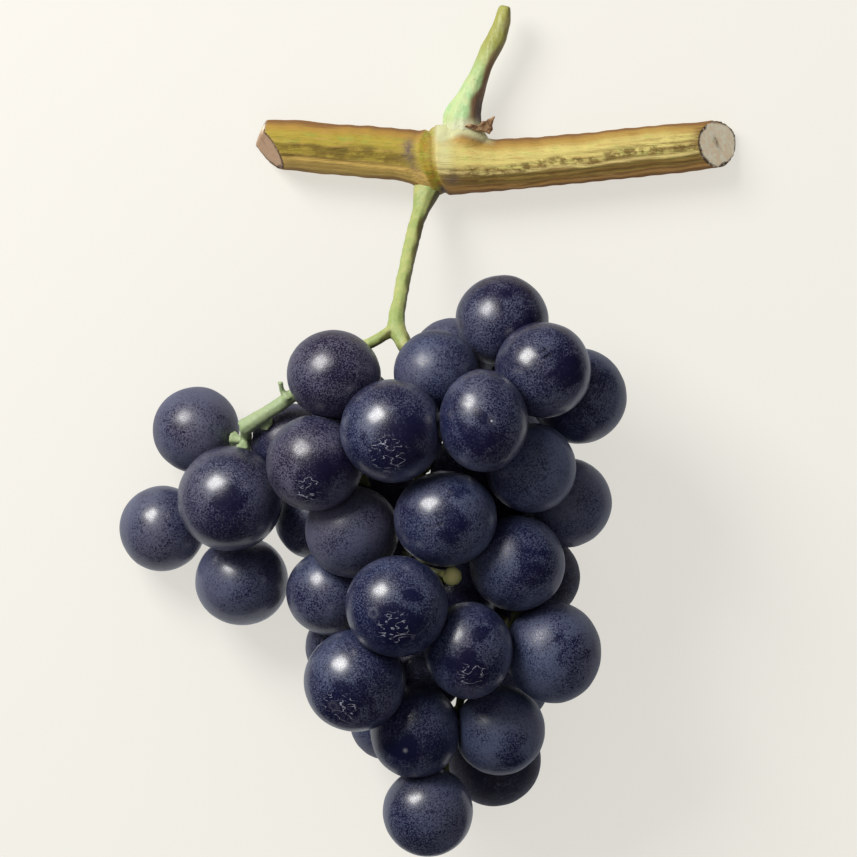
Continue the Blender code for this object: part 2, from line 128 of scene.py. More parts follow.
# Colours of the cane's node and of its cut wood
NODE_OCHRE = (0.420, 0.290, 0.030)
NODE_GREEN = (0.360, 0.370, 0.050)
NODE_SPOT = (0.360, 0.170, 0.030)
NODE_PALE = (0.600, 0.600, 0.340)
NODE_PURPLE = (0.150, 0.105, 0.110)
# the cut wood's ring colours, brightened past its own colour as painted light on the shaded cut face
WOOD_DARK_RING_LIT = (0.960, 0.780, 0.550)
WOOD_PALE_RING_LIT = (1.0, 0.930, 0.740)
WOOD_PITH = (0.280, 0.200, 0.120)
WOOD_STAIN = (0.400, 0.220, 0.120)
WOOD_RIM = (0.090, 0.050, 0.030)

# Colours of the leaf stalk and the bud scale
STALK_MINT = (0.400, 0.620, 0.290)
STALK_GREEN = (0.520, 0.640, 0.300)
STALK_UPPER = (0.350, 0.350, 0.070)
STALK_STREAK = (0.560, 0.600, 0.300)
STALK_BROWN = (0.190, 0.110, 0.055)
STALK_DARK = (0.060, 0.030, 0.020)
STALK_PALE = (0.640, 0.640, 0.430)
STALK_FLECK = (0.150, 0.100, 0.040)
SCALE_DARK = (0.180, 0.085, 0.040)
SCALE_PALE = (0.500, 0.310, 0.160)

# Berries
LAST_CLEAR = 33                   # berries past this number lie deep in the bunch
COARSE_LEVEL = 5
FINE_LEVEL = 6                    # for berries with creases, wrinkles or a scar
FACET_SWELL = 1.01                # how much wider the frame's faceted balls are than these round ones
GAP = 0.3 * MM                    # air between touching berries in the frame
STOP_SHORT = GAP / 3              # how far a berry stops from the plane it shares with a neighbour
SQUASH_EDGE = 0.12 * MM           # how softly a pressed flat meets the round skin
STRETCH_ROOM = 1.05               # room for stretched berries in the search for neighbours
FIT_ROUNDS = 6                    # rounds in which a ball is fitted to a faceted berry
FIT_NEAR = 0.05 * MM              # points this near the ball, or nearer than most, are kept in a round
FIT_PERCENT = 55
DOWN = np.array([0.0, 0.0, -1.0])
STEM_GAP = 0.20 * MM              # air between berries and stems
STEM_SEARCH = 2.5 * MM
SLOW_SWELL, FINE_SWELL = 0.006, 0.0015              # unevenness, as parts of the radius
STALK_DIMPLE, STALK_DIMPLE_WIDTH = 0.045, 0.025     # at the stalk, as parts of the radius
END_DIMPLE, END_DIMPLE_WIDTH = 0.010, 0.020         # the same at the far end
CREASE_WIDTH = 0.026
WRINKLE_DEPTH = 0.10              # in millimetres, as the scar's height
SCAR_HEIGHT = 0.07
SCAR_RADIUS, SCAR_RING = 0.075, 0.022               # of the scar's raised ring, and its width
SCAR_DIP = 0.04                                     # width of the dip inside it
SCAR_PALE_RADIUS, SCAR_PALE_RING = 0.085, 0.03      # of the ring's paler skin
COMMON_GLOSS = 0.1                # highlight of the berries that GLOSS doesn't name

# What the photograph shows of single berries, by their numbers. Places are parts of the radius
# right and up from the berry's middle, as the camera sees it.
STRETCH = {  # sideways and lengthwise
    4: (0.96, 1.00), 6: (0.94, 1.07), 8: (1.00, 0.95), 14: (1.00, 0.96), 17: (1.03, 0.96),
    22: (0.96, 1.02), 25: (0.95, 1.06), 28: (0.97, 1.03),
}
TONE = {  # 0 is blue, 1 is purple-black
    1: 0.50, 2: 0.30, 3: 0.10, 4: 0.60, 5: 0.25, 6: 0.25, 7: 0.25, 8: 0.85, 9: 0.80, 10: 0.60,
    11: 0.55, 12: 0.60, 13: 0.50, 14: 0.30, 15: 0.40, 16: 0.55, 17: 0.10, 18: 0.05, 19: 0.15, 20: 0.05,
    22: 0.10, 23: 0.20, 24: 0.25, 25: 0.10, 26: 0.15, 28: 0.10, 29: 0.10, 30: 0.30, 31: 0.25,
}
BLOOM_AND_SHADE = {  # how much bloom lies on the skin; the berries deep in the bunch and in the shade get little, which darkens them as painted shade
    1: 0.34, 2: 0.38, 3: 0.42, 4: 0.70, 5: 0.68, 6: 0.48, 7: 0.42, 8: 0.42, 9: 0.58, 10: -0.05,
    11: 0.95, 12: 0.42, 13: 0.78, 14: 0.96, 15: 0.36, 16: 0.92, 17: 0.55, 18: 0.76, 19: 1.02, 20: 0.58,
    21: 0.05, 22: 0.78, 23: 0.36, 24: 0.64, 25: 0.50, 26: 0.38, 27: 0.35, 28: 0.25, 29: 0.86, 30: -0.10,
    31: 0.68, 32: 0.80, 33: 0.10, 34: 0.10, 35: 0.05, 36: 0.05, 37: 0.05, 38: 0.05,
}
GLOSS = {  # how strong the skin's highlight is
    1: 0.36, 2: 0.54, 3: 0.14, 4: 0.07, 5: 0.14, 6: 0.50, 7: 0.72, 8: 0.32, 9: 0.22, 10: 0.0,
    11: 0.25, 12: 0.65, 13: 0.65, 14: 0.72, 15: 0.50, 16: 0.11, 17: 0.58, 18: 0.18, 19: 0.18, 20: 0.04,
    21: 0.0, 22: 0.0, 23: 0.58, 24: 0.54, 25: 0.50, 26: 0.72, 28: 0.43, 29: 0.07, 30: 0.0, 31: 0.65,
}
DULL = {10: 0.5, 21: 0.8, 30: 0.8}     # berries that lie dull in the shade
RUBBED = {  # place and size of patches where the bloom is rubbed off
    1: [(0.60, -0.10, 0.35), (0.05, 0.45, 0.15)],
    2: [(0.45, -0.05, 0.45)],
    3: [(-0.1, -0.2, 0.5)],
    6: [(-0.20, -0.36, 0.38), (-0.05, 0.10, 0.15)],
    7: [(0.15, -0.25, 0.65)],
    9: [(0.0, -0.45, 0.55), (-0.3, 0.1, 0.35)],
    12: [(-0.1, 0.0, 0.35)],
    17: [(0.12, 0.02, 0.36), (0.20, 0.55, 0.20)],
    20: [(0.30, -0.10, 0.42)],
    22: [(0.42, 0.0, 0.38)],
    23: [(0.12, -0.35, 0.5), (0.25, 0.15, 0.2)],
    25: [(0.0, -0.4, 0.45), (0.2, 0.4, 0.2)],
    26: [(-0.1, -0.45, 0.5)],
    28: [(-0.22, -0.42, 0.42)],
    29: [(0.2, -0.4, 0.45)],
}
WRINKLED = {  # place and size of finely wrinkled patches
    7: (-0.05, -0.48, 0.42), 9: (-0.15, -0.55, 0.35), 23: (-0.02, -0.45, 0.40), 25: (0.10, -0.50, 0.38),
    26: (-0.30, -0.55, 0.42),
}
SCARS = {  # place of the round scar at the berry's far end, and how clear it is
    6: (0.19, 0.0, 0.35), 23: (-0.46, -0.12, 0.6), 26: (-0.42, -0.50, 0.5),
}
PAINTED_GLINTS = {6: (0.19, 0.0, 0.016), 28: (-0.22, -0.42, 0.020)}     # place and radius of a painted glint, a tiny bright speck of highlight
CREASES = {  # start, end and depth of a crease, the depth in millimetres
    2: [((-0.10, 0.34), (0.16, 0.48), 0.30), ((-0.03, 0.22), (0.22, 0.36), 0.30)],
    17: [((-0.54, -0.14), (-0.18, -0.17), 0.10), ((-0.20, -0.16), (-0.02, -0.06), 0.10)],
}

# Bunch stem: its top is drawn up into the cane and widened about its middle
STEM_VOXEL = 0.30 * MM
STEM_TOP_Y = (44.6, 47.2)     # in millimetres, between which the drawing up sets in
STEM_TOP_REACH = 1.3 * MM
STEM_TOP_WIDEN = 0.22
STEM_TOP_X = -0.2 * MM
BROKEN_X, BROKEN_Y, BROKEN_WIDTH = 4.9, -29.2, 1.6     # the bare stalk end, in millimetres
BROKEN_HEIGHT = (33.5, 35.0)

# Cane, in millimetres: x, y and radius along its middle line, as the frame has them
CANE_VOXEL = 0.30
CANE_LINE = [
    (-36.0, 57.9, 5.5), (-25.6, 57.4, 5.35), (-14.6, 56.1, 5.15), (-6.6, 55.4, 5.15), (-2.4, 54.8, 5.4),
    (0.6, 54.0, 6.1), (5.0, 53.4, 6.2), (9.6, 53.1, 5.8), (13.6, 53.1, 5.25), (23.4, 53.8, 5.0),
    (34.4, 55.0, 4.95), (46.4, 56.4, 5.05), (66.0, 58.8, 5.3),
]
CANE_HEIGHT = 5.9             # of its middle line
CANE_MIDDLE_X = 12.5          # halfway between its cut ends
NODE_X = 3.0
COLLAR_X = -1.8               # the ring that ends the left stretch
SLEEVE_X = 1.4                # where the right stretch's rounded end starts
TORN_X = 54.6                 # the torn bark near the right end
RIDGE_HEIGHT = 0.10
COLLAR_HEIGHT = 0.34
SLEEVE_GROOVE = 0.30
SLEEVE_HEIGHT = 0.22
ALONG_CANE = (1.0, 9.0, 9.0)  # stretch of a noise that streaks along the cane
TOP_TRIM_X = [-32.0, -20.0, -12.0, 44.0, 56.0]      # how far the upper edge is lowered, and where
TOP_TRIM = [0.95, 0.50, 0.0, 0.0, 0.80]
LOW_TRIM, LOW_TRIM_X, LOW_TRIM_WIDTH = 0.50, 9.4, 4.0     # how far the lower edge is raised, and where
BAND_X = [6, 26, 50]          # the right stretch's dark band: where, its middle and its half width
BAND_MIDDLE = [-0.24, -0.10, 0.06]
BAND_HALF = [0.20, 0.20, 0.16]

# Leaf stalk: y, x and radius along its middle line, in millimetres
STALK_LINE = [
    (60.0, 7.2, 4.5), (63.0, 7.0, 3.8), (66.4, 8.2, 2.85), (70.0, 9.7, 2.25), (73.0, 11.0, 2.0),
    (76.0, 12.5, 1.95), (79.0, 13.9, 1.95), (82.0, 14.9, 1.8), (85.3, 15.5, 1.4),
]
STALK_VOXEL = 0.25 * MM
STALK_FOOT_X = 7.0
STALK_FOOT_Y = (61.4, 63.2)   # between which the drawing in fades out
STALK_FOOT_REACH = 1.4 * MM   # how far its foot is drawn into the cane

# Bud scale: x, y and height of its outline, in millimetres
SCALE_OUTLINE = [
    (7.4, 61.0, 10.8), (8.8, 61.4, 10.6), (10.0, 61.2, 10.2), (11.2, 62.0, 9.7), (13.3, 62.9, 8.9),
    (12.9, 60.8, 8.6), (12.5, 59.3, 8.4), (11.2, 60.0, 9.2), (9.2, 60.2, 10.2),
]
SCALE_THICK = 1.2
SCALE_VOXEL = 0.16 * MM


class Graph:
    """A short way to add and join shader nodes."""

    def __init__(self, tree):
        self.tree = tree

    def add(self, kind, **values):
        """Adds a node and sets its properties."""
        node = self.tree.nodes.new(kind)
        for key, value in values.items():
            setattr(node, key, value)
        return node

    def feed(self, socket, value):
        """Joins an output to a socket, or sets the socket to a constant."""
        if isinstance(value, bpy.types.NodeSocket):
            self.tree.links.new(value, socket)
        elif isinstance(value, (tuple, list)) and len(value) == 3 and socket.type == "RGBA":
            socket.default_value = (*value, 1.0)
        else:
            socket.default_value = value

    def fill(self, sockets, values):
        """Feeds sockets by their names."""
        for name, value in values.items():
            self.feed(sockets[name], value)

    def place(self, stretch):
        """Returns object coordinates, scaled apart along the axes."""
        source = self.add("ShaderNodeTexCoord").outputs["Object"]
        if stretch == EVEN:
            return source
        mapping = self.add("ShaderNodeMapping")
        self.fill(mapping.inputs, {"Vector": source, "Scale": stretch})
        return mapping.outputs["Vector"]

    def noise(self, scale, detail=3.0, roughness=0.55, stretch=EVEN):
        """Returns a noise value whose scale is in waves a metre."""
        node = self.add("ShaderNodeTexNoise")
        values = {"Vector": self.place(stretch), "Scale": scale, "Detail": detail, "Roughness": roughness}
        self.fill(node.inputs, values)
        return node.outputs["Fac"]

    def math(self, operation, one, two=0.0, clamp=False):
        """Returns the result of a sum on one or two values."""
        node = self.add("ShaderNodeMath", operation=operation, use_clamp=clamp)
        self.feed(node.inputs[0], one)
        self.feed(node.inputs[1], two)
        return node.outputs["Value"]

    def plus(self, one, two, clamp=False):
        """Adds two values."""
        return self.math("ADD", one, two, clamp)

    def times(self, one, two):
        """Multiplies two values."""
        return self.math("MULTIPLY", one, two)

    def ramp(self, value, low, high, start=0.0, end=1.0):
        """Spreads a value between low and high over start to end, clamped."""
        node = self.add("ShaderNodeMapRange", clamp=True, interpolation_type="SMOOTHSTEP")
        ends = {"Value": value, "From Min": low, "From Max": high, "To Min": start, "To Max": end}
        self.fill(node.inputs, ends)
        return node.outputs["Result"]

    def attribute(self, name):
        """Returns a number stored on the mesh."""
        return self.add("ShaderNodeAttribute", attribute_name=name).outputs["Fac"]

    def mix(self, share, one, two):
        """Mixes two colours."""
        node = self.add("ShaderNodeMix", data_type="RGBA", clamp_factor=True)
        self.feed(node.inputs["Factor"], share)
        self.feed(node.inputs[MIX_FIRST], one)
        self.feed(node.inputs[MIX_SECOND], two)
        return node.outputs[MIX_RESULT]

    def paint(self, below, colour, share, strength=1.0):
        """Lays a colour over the one below it, where and as far as the share says."""
        if strength != 1.0:
            share = self.times(share, strength)
        return self.mix(share, below, colour)

    def bump(self, height, depth, below=None):
        """Returns a normal bent by a height that is one unit to the given depth in metres."""
        node = self.add("ShaderNodeBump")
        self.fill(node.inputs, {"Height": height, "Distance": depth, "Strength": 1.0})
        if below is not None:
            self.feed(node.inputs["Normal"], below)
        return node.outputs["Normal"]


def principled(name):
    """Makes a material and returns it with its graph and its shader's sockets."""
    made = bpy.data.materials.new(name)
    made.use_nodes = True
    return made, Graph(made.node_tree), made.node_tree.nodes["Principled BSDF"].inputs


def wrinkle_lines(graph):
    """Returns a wrinkled patch's broken fine lines, drawn where a noise crosses its middle."""
    folds = graph.noise(430.0, detail=1.0, stretch=(0.8, 1.7, 1.0))
    off = graph.math("ABSOLUTE", graph.math("SUBTRACT", folds, 0.5))
    lines = graph.times(graph.ramp(off, 0.006, 0.024, 1.0, 0.0), graph.attribute("wrinkle"))
    return graph.times(lines, graph.ramp(graph.noise(900.0, detail=2.0), 0.40, 0.54))


def berry_skin():
    """Near-black navy skin under a blue-grey bloom with fine stipple, rubbed bare in patches, with a painted
    shine on wrinkle lines, painted shade in creases and painted glints.
    """
    made, graph, sockets = principled("berry_skin_look")
    tone = graph.attribute("tone")
    clouds = graph.noise(210.0, detail=5.0, roughness=0.62)
    stipple = graph.noise(3200.0, detail=2.0, roughness=0.75)
    grains = graph.noise(1500.0, detail=3.0, roughness=0.65)
    bare = graph.plus(graph.attribute("rubbed"), graph.attribute("wrinkle"), clamp=True)
    # the bloom also carries painted shade: the berries deep in the bunch get little, so they stay dark
    spread = graph.plus(graph.attribute("bloom"), graph.ramp(clouds, 0.25, 0.75, -0.20, 0.20))
    spread = graph.math("SUBTRACT", spread, graph.times(bare, 0.62))
    spread = graph.plus(spread, graph.ramp(stipple, 0.33, 0.67, -0.62, 0.62))
    spread = graph.plus(spread, graph.ramp(grains, 0.30, 0.70, -0.14, 0.14))
    bloom = graph.ramp(spread, 0.0, 1.15)
    skin = graph.mix(tone, SKIN_BLUE, SKIN_PURPLE)
    dust = graph.mix(tone, DUST_BLUE, DUST_PURPLE)
    lines = wrinkle_lines(graph)
    colour = graph.mix(bloom, skin, dust)
    # painted highlight: the wrinkle lines are painted pale, as shine on their ridges
    colour = graph.paint(colour, WRINKLE_PAINTED_SHINE, lines, 0.85)
    # painted shade: darker along the creases
    colour = graph.paint(colour, CREASE_PAINTED_SHADE, graph.attribute("crease"), 0.85)
    colour = graph.paint(colour, SCAR_PALE, graph.attribute("scar"), 0.6)
    # painted glint: a tiny white speck of highlight
    colour = graph.paint(colour, GLINT_PAINTED_WHITE, graph.attribute("painted_glint"))
    dull = graph.times(graph.attribute("dull"), 0.8)
    graph.fill(sockets, {
        "Base Color": colour,
        "Roughness": graph.math("MAXIMUM", dull, graph.ramp(bloom, 0.0, 1.0, 0.32, 0.56)),
        "Specular IOR Level": 0.70,
        "Coat Weight": graph.attribute("gloss"),
        "Coat IOR": 1.65,
        "Coat Roughness": 0.24,
        "Normal": graph.bump(lines, 0.08 * MM, graph.bump(stipple, 0.05 * MM)),
    })
    return made


def stem_skin():
    """Fresh yellow-green stem with small brown flecks, with painted shade: brown on its right side and under
    the wing, dark deep in the bunch; its bare end is painted lighter than its own colour, as painted light.
    """
    made, graph, sockets = principled("stem_green_look")
    patches = graph.noise(260.0, detail=4.0, roughness=0.6)
    flecks = graph.noise(1400.0, detail=3.0, roughness=0.7)
    colour = graph.mix(graph.ramp(patches, 0.35, 0.65), STEM_YELLOW, STEM_GREEN)
    colour = graph.paint(colour, STEM_FLECK, graph.ramp(flecks, 0.60, 0.72), 0.5)
    # painted shade: brown on the right side and under the wing
    colour = graph.paint(colour, STEM_SHADE_BROWN, graph.attribute("brown"), 0.92)
    colour = graph.paint(colour, STEM_MINT, graph.attribute("mint"), 0.8)
    # painted shade: dark where the stem runs deep between the berries
    colour = graph.paint(colour, STEM_DEEP_SHADE, graph.attribute("deep"))
    # the bare end's pale colour, brightened as painted light against the berries' shade
    colour = graph.paint(colour, STEM_BROKEN_LIT, graph.attribute("broken"))
    graph.fill(sockets, {
        "Base Color": colour,
        "Roughness": graph.ramp(flecks, 0.3, 0.7, 0.45, 0.62),
        "Subsurface Weight": 0.08,
        "Subsurface Radius": STEM_SCATTER,
        "Normal": graph.bump(flecks, 0.10 * MM),
    })
    return made


def bark_bands(graph, streaks, blotches):
    """Returns the bark's bands along the cane, paler to the right of the node."""
    front, right = graph.attribute("front"), graph.attribute("right")
    green = graph.mix(right, GREEN_LEFT, GREEN_RIGHT)
    low = graph.mix(right, LOW_LEFT, LOW_RIGHT)
    line = graph.times(graph.ramp(front, -0.36, -0.30), graph.ramp(front, -0.20, -0.26))
    under = graph.ramp(front, -0.66, -0.80)
    colour = graph.mix(right, BARK_LEFT, BARK_RIGHT)
    colour = graph.paint(colour, green, graph.ramp(blotches, 0.50, 0.68), 0.55)
    colour = graph.paint(colour, BARK_STREAK, graph.ramp(streaks, 0.50, 0.64), 0.45)
    colour = graph.paint(colour, BARK_UPPER, graph.ramp(front, 0.42, 0.80), 0.85)
    colour = graph.paint(colour, low, graph.ramp(front, -0.30, -0.48), 0.85)
    colour = graph.paint(colour, BARK_LINE, graph.times(line, right), 0.8)
    return graph.paint(colour, BARK_UNDER, graph.times(under, right), 0.8)


def bark_stains(graph, below, streaks, fine, blotches):
    """Lays the dark band, the grooves, the brown edges and the fine streaks over the bark."""
    front, right = graph.attribute("front"), graph.attribute("right")
    dots = graph.noise(620.0, detail=5.0, roughness=0.7, stretch=(1.0, 1.4, 1.4))
    left_dirt = graph.times(graph.ramp(blotches, 0.36, 0.60, 0.25, 0.95), graph.ramp(right, 0.6, 0.2))
    right_dirt = graph.times(graph.ramp(dots, 0.42, 0.60), graph.ramp(right, 0.4, 0.9))
    dirt = graph.times(graph.plus(left_dirt, right_dirt), graph.attribute("band"))
    grooves = graph.times(graph.attribute("grooves"), graph.ramp(streaks, 0.38, 0.52))
    colour = graph.paint(below, BARK_DIRT, dirt, 0.80)
    colour = graph.paint(colour, BARK_GROOVE, grooves, 0.75)
    colour = graph.paint(colour, BARK_CREST, graph.ramp(front, 0.78, 0.96), 0.90)
    colour = graph.paint(colour, BARK_EDGE, graph.ramp(front, -0.86, -0.98), 0.75)
    return graph.paint(colour, BARK_FINE, graph.ramp(fine, 0.57, 0.68), 0.35)


def node_colour(graph, below, blotches, specks):
    """Colours the node between its two rings, with its pale sleeve and purple smudges."""
    node = graph.mix(graph.ramp(blotches, 0.40, 0.62), NODE_OCHRE, NODE_GREEN)
    node = graph.paint(node, NODE_SPOT, graph.ramp(specks, 0.42, 0.60), 0.6)
    purple = graph.times(graph.attribute("purple"), graph.ramp(specks, 0.35, 0.55, 0.45, 1.0))
    colour = graph.paint(below, node, graph.attribute("node"))
    colour = graph.paint(colour, NODE_PALE, graph.attribute("pale"))
    return graph.paint(colour, NODE_PURPLE, purple)


def wood_colour(graph, rings, specks):
    """Returns the colour of the cut wood, with its pith, its stain and its dark rim; its rings are painted
    paler than the wood's own colour, as painted light on the shaded cut face.
    """
    pith = graph.times(graph.attribute("pith"), graph.ramp(rings, 0.35, 0.60, 1.0, 0.35))
    rim = graph.times(graph.attribute("rim"), graph.ramp(specks, 0.34, 0.52, 0.35, 1.0))
    colour = graph.mix(graph.ramp(rings, 0.38, 0.62), WOOD_DARK_RING_LIT, WOOD_PALE_RING_LIT)
    colour = graph.paint(colour, WOOD_PITH, pith)
    colour = graph.paint(colour, WOOD_STAIN, graph.attribute("stain"))
    return graph.paint(colour, WOOD_RIM, rim)


def bark_skin():
    """Ridged olive and ochre bark with a ringed node and cut wood ends."""
    made, graph, sockets = principled("cane_bark_look")
    streaks = graph.noise(150.0, detail=5.0, roughness=0.62, stretch=ALONG_CANE)
    fine = graph.noise(420.0, detail=4.0, roughness=0.6, stretch=ALONG_CANE)
    blotches = graph.noise(330.0, detail=4.0, roughness=0.65, stretch=(1.0, 1.6, 1.6))
    specks = graph.noise(1300.0, detail=3.0, roughness=0.7)
    rings = graph.noise(900.0, detail=4.0, roughness=0.7)
    colour = bark_bands(graph, streaks, blotches)
    colour = bark_stains(graph, colour, streaks, fine, blotches)
    colour = node_colour(graph, colour, blotches, specks)
    colour = graph.paint(colour, wood_colour(graph, rings, specks), graph.attribute("wood"))
    ridged = graph.bump(graph.plus(streaks, graph.times(fine, 0.7)), 0.22 * MM)
    graph.fill(sockets, {
        "Base Color": colour,
        "Roughness": graph.ramp(streaks, 0.3, 0.7, 0.50, 0.72),
        "Specular IOR Level": 0.20,
        "Normal": graph.bump(graph.plus(rings, specks), 0.06 * MM, ridged),
    })
    return made


def stalk_skin():
    """Mint green leaf stalk, yellower toward its tip, brown down its right side, pale at its foot."""
    made, graph, sockets = principled("leaf_stalk_look")
    streaks = graph.noise(420.0, detail=4.0, stretch=(3.0, 0.6, 3.0))
    patches = graph.noise(330.0, detail=4.0)
    flecks = graph.noise(1500.0, detail=3.0, roughness=0.7)
    colour = graph.mix(graph.ramp(patches, 0.38, 0.62), STALK_MINT, STALK_GREEN)
    colour = graph.paint(colour, STALK_UPPER, graph.attribute("upper"))
    colour = graph.paint(colour, STALK_STREAK, graph.ramp(streaks, 0.5, 0.65), 0.4)
    colour = graph.paint(colour, STALK_BROWN, graph.attribute("brown"))
    colour = graph.paint(colour, STALK_DARK, graph.attribute("dark"))
    colour = graph.paint(colour, STALK_PALE, graph.attribute("pale"))
    colour = graph.paint(colour, STALK_FLECK, graph.ramp(flecks, 0.6, 0.72), 0.4)
    graph.fill(sockets, {
        "Base Color": colour,
        "Roughness": graph.ramp(flecks, 0.3, 0.7, 0.45, 0.6),
        "Normal": graph.bump(graph.plus(streaks, flecks), 0.12 * MM),
    })
    return made


def scale_skin():
    """Dry brown bud scale with a pale grain."""
    made, graph, sockets = principled("bud_scale_look")
    grain = graph.noise(900.0, detail=4.0, roughness=0.65)
    graph.fill(sockets, {
        "Base Color": graph.mix(graph.ramp(grain, 0.38, 0.62), SCALE_DARK, SCALE_PALE),
        "Roughness": graph.ramp(grain, 0.3, 0.7, 0.6, 0.8),
        "Normal": graph.bump(grain, 0.15 * MM),
    })
    return made


def floor_skin():
    """Plain pale floor."""
    made, graph, sockets = principled("floor_look")
    grain = graph.noise(30.0, detail=2.0)
    darker = tuple(part * FLOOR_GRAIN for part in FLOOR_COLOUR)
    graph.fill(sockets, {
        "Base Color": graph.mix(graph.ramp(grain, 0.2, 0.8), FLOOR_COLOUR, darker),
        "Roughness": graph.ramp(grain, 0.0, 1.0, 0.9, 0.95),
        "Specular IOR Level": 0.0,
        "Emission Color": FLOOR_GLOW_COLOUR,
        "Emission Strength": FLOOR_GLOW,
    })
    return made


def disc_skin():
    """Black with a pale glow."""
    made, graph, sockets = principled("disc_look")
    graph.fill(sockets, {
        "Base Color": (0.0, 0.0, 0.0),
        "Specular IOR Level": 0.0,
        "Emission Color": DISC_GLOW_COLOUR,
        "Emission Strength": DISC_GLOW,
    })
    return made


def link(thing):
    """Puts an object in the scene."""
    bpy.context.scene.collection.objects.link(thing)


def mesh_of(work, name):
    """Turns a working mesh into a finished one."""
    mesh = bpy.data.meshes.new(name)
    work.to_mesh(mesh)
    work.free()
    return mesh


def corners_of(mesh):
    """Reads a mesh's points as an array."""
    places = np.empty(len(mesh.vertices) * 3, dtype=np.float32)
    mesh.vertices.foreach_get("co", places)
    return places.reshape(-1, 3).astype(float)


def normals_of(mesh):
    """Reads a mesh's point normals as an array."""
    values = np.empty(len(mesh.vertices) * 3, dtype=np.float32)
    mesh.vertex_normals.foreach_get("vector", values)
    return values.reshape(-1, 3).astype(float)


def set_corners(mesh, places):
    """Moves a mesh's points to an array of places."""
    mesh.vertices.foreach_set("co", places.astype(np.float32).ravel())
    mesh.update()


def waves(places, seed, count=7):
    """Returns a smooth random field, about -1 to 1, over places given in wavelengths."""
    draw = random.Random(seed)
    total = np.zeros(len(places))
    for _ in range(count):
        turn = np.array([draw.gauss(0, 1) for _ in range(3)])
        total += np.sin(places @ turn * 2.0 + draw.uniform(0, 2 * math.pi))
    return total / math.sqrt(count * 0.5)


def soft_step(values, low, high):
    """Rises smoothly from 0 at low to 1 at high."""
    share = np.clip((values - low) / (high - low), 0.0, 1.0)
    return share * share * (3 - 2 * share)


def bulge(values, middle, width):
    """Rises to 1 at the middle and falls off smoothly over the width."""
    return np.exp(-(((values - middle) / width) ** 2))


def dress(node, mesh, skin, marks):
    """Adds a piece that stands for a node, with the numbers that its material reads at each point."""
    for name, values in marks.items():
        layer = mesh.attributes.new(name, "FLOAT", "POINT")
        layer.data.foreach_set("value", np.asarray(values, dtype=np.float32))
    mesh.materials.clear()
    mesh.materials.append(skin)
    piece = bpy.data.objects.new(node + "_skin", mesh)
    link(piece)
    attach(piece, BODY)
    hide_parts(node)


def remeshed(mesh, voxel, smooth_rounds):
    """Rebuilds a closed mesh finely and smoothly."""
    holder = bpy.data.objects.new("work", mesh)
    link(holder)
    fine = holder.modifiers.new("fine", "REMESH")
    fine.mode = "VOXEL"
    fine.voxel_size = voxel
    fine.use_smooth_shade = True
    even = holder.modifiers.new("even", "SMOOTH")
    even.factor = 0.5
    even.iterations = smooth_rounds
    seen = holder.evaluated_get(bpy.context.evaluated_depsgraph_get())
    made = bpy.data.meshes.new_from_object(seen)
    bpy.data.objects.remove(holder, do_unlink=True)
    made.shade_smooth()
    return made


def node_mesh(node):
    """Copies a node's mesh from the frame."""
    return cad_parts[node].data.copy()


def fit_ball(places):
    """Finds the middle and radius of the ball that most of the points lie on."""
    kept = places
    for _ in range(FIT_ROUNDS):
        rows = np.hstack([2 * kept, np.ones((len(kept), 1))])
        answer = np.linalg.lstsq(rows, (kept**2).sum(axis=1), rcond=None)[0]
        centre = answer[:3]
        radius = math.sqrt(answer[3] + (centre**2).sum())
        off = np.linalg.norm(places - centre, axis=1) - radius
        near = np.abs(off) < max(FIT_NEAR, np.percentile(np.abs(off), FIT_PERCENT))
        kept = places[near]
    return centre, radius


def ball_mesh(level):
    """Makes a fine round ball of radius one."""
    work = bmesh.new()
    bmesh.ops.create_icosphere(work, subdivisions=level, radius=1.0)
    mesh = mesh_of(work, f"ball_{level}")
    mesh.shade_smooth()
    return mesh


def facing(right, up):
    """Turns a place on a berry, as the camera sees it, into a direction."""
    return np.array([right, up, math.sqrt(max(0.0, 1 - right * right - up * up))])


def distance_from(directions, right, up):
    """Returns how far each direction is from a place on a berry."""
    return np.linalg.norm(directions - facing(right, up), axis=1)


def crease_field(directions, start, end):
    """Is 1 along the middle of a crease and falls off to its sides and ends."""
    one, two = facing(*start), facing(*end)
    share = np.clip((directions - one) @ (two - one) / ((two - one) @ (two - one)), 0.0, 1.0)
    apart = np.linalg.norm(directions - one - share[:, None] * (two - one), axis=1)
    return bulge(apart, 0.0, CREASE_WIDTH) * np.sin(np.pi * np.clip(share, 0.02, 0.98))


def berry_relief(number, directions):
    """Returns how far a berry's creases, wrinkles and scar raise its skin, in millimetres."""
    height = np.zeros(len(directions))
    for start, end, depth in CREASES.get(number, []):
        height -= crease_field(directions, start, end) * depth
    if number in WRINKLED:
        right, up, size = WRINKLED[number]
        patch = np.exp(-((distance_from(directions, right, up) / size) ** 2) * 2.0)
        folds = np.abs(waves(directions * 9.0, number + 50, 5))
        height -= patch * np.exp(-folds * 5.0) * WRINKLE_DEPTH
    if number in SCARS:
        right, up, clear = SCARS[number]
        apart = distance_from(directions, right, up)
        ring = bulge(apart, SCAR_RADIUS, SCAR_RING) - bulge(apart, 0.0, SCAR_DIP)
        height += ring * clear * SCAR_HEIGHT
    return height


def press(places, centre, outward, reach):
    """Presses points that lie beyond a plane flat against it, with a soft edge."""
    depth = (places - centre) @ outward - reach
    soft = SQUASH_EDGE * np.log1p(np.exp(np.minimum(depth / SQUASH_EDGE, 40)))
    pushed = np.where(depth > 6 * SQUASH_EDGE, depth, soft)
    return places - pushed[:, None] * outward


def clear_of_stem(places, centre, stem_tree):
    """Moves points that reach into a stem back toward the berry's middle."""
    for index in range(len(places)):
        here = Vector(places[index])
        near, normal, _, distance = stem_tree.find_nearest(here, STEM_SEARCH)
        if near is None:
            continue
        outside = (here - near).dot(normal)
        signed = distance if outside > 0 else -distance
        short = STEM_GAP - signed
        if short > 0:
            inward = centre - places[index]
            places[index] += inward / np.linalg.norm(inward) * short
    return places


